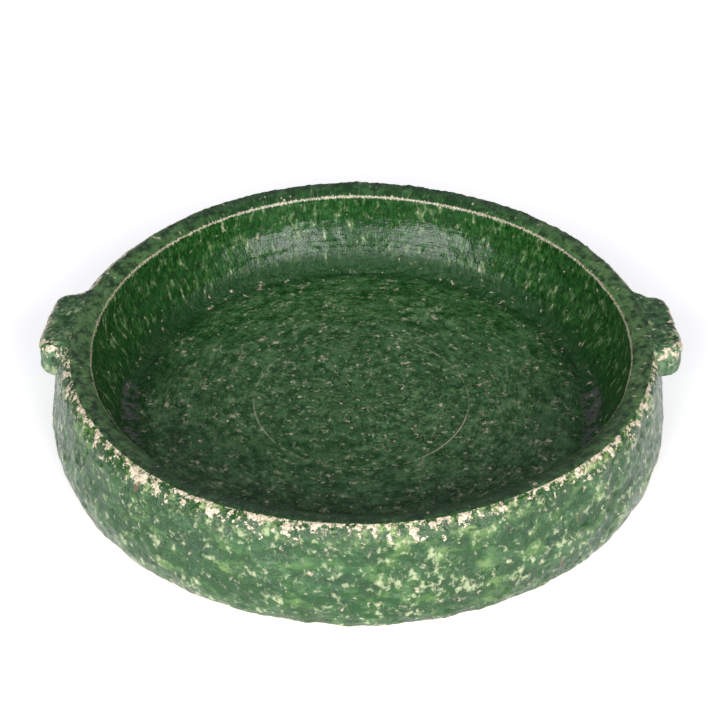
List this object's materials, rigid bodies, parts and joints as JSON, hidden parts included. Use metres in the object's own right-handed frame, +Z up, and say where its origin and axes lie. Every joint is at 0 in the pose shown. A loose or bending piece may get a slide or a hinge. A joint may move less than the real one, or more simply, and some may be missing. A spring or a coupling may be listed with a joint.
{
  "type": "lug-handled serving dish",
  "caption": "Shallow round earthenware dish with a thick leaning wall, a flat floor, a flat lug handle on each side and a mottled green glaze.",
  "frame": {"origin": "centre of the circle of the foot, on the surface the dish stands on", "axes": "+Z up along the dish's axis, +X to the right lug with the dish's front toward -Y, +Y to the back"},
  "size_m": [0.3696, 0.358, 0.063],
  "materials": {
    "clay": "coarse unglazed earthenware, matte",
    "slip": "fired slip in the joints, matte",
    "bowl_glaze": "dark green gloss, pooled in the gutter",
    "rim_glaze": "muted green, half matte",
    "outer_glaze": "mottled light and dark green gloss, worn to the clay in patches",
    "lug_glaze": "muted green, worn pale along the edges"
  },
  "bodies": {
    "root": {"floor_slab": "clay", "floor_slip_seam": "slip", "wall_ring": "clay", "left_lug": "clay", "right_lug": "clay", "left_lug_slip_seam": "slip", "right_lug_slip_seam": "slip", "bowl_glaze": "bowl_glaze", "rim_glaze": "rim_glaze", "outer_glaze": "outer_glaze", "left_lug_glaze": "lug_glaze", "right_lug_glaze": "lug_glaze"}
  },
  "joints": []
}
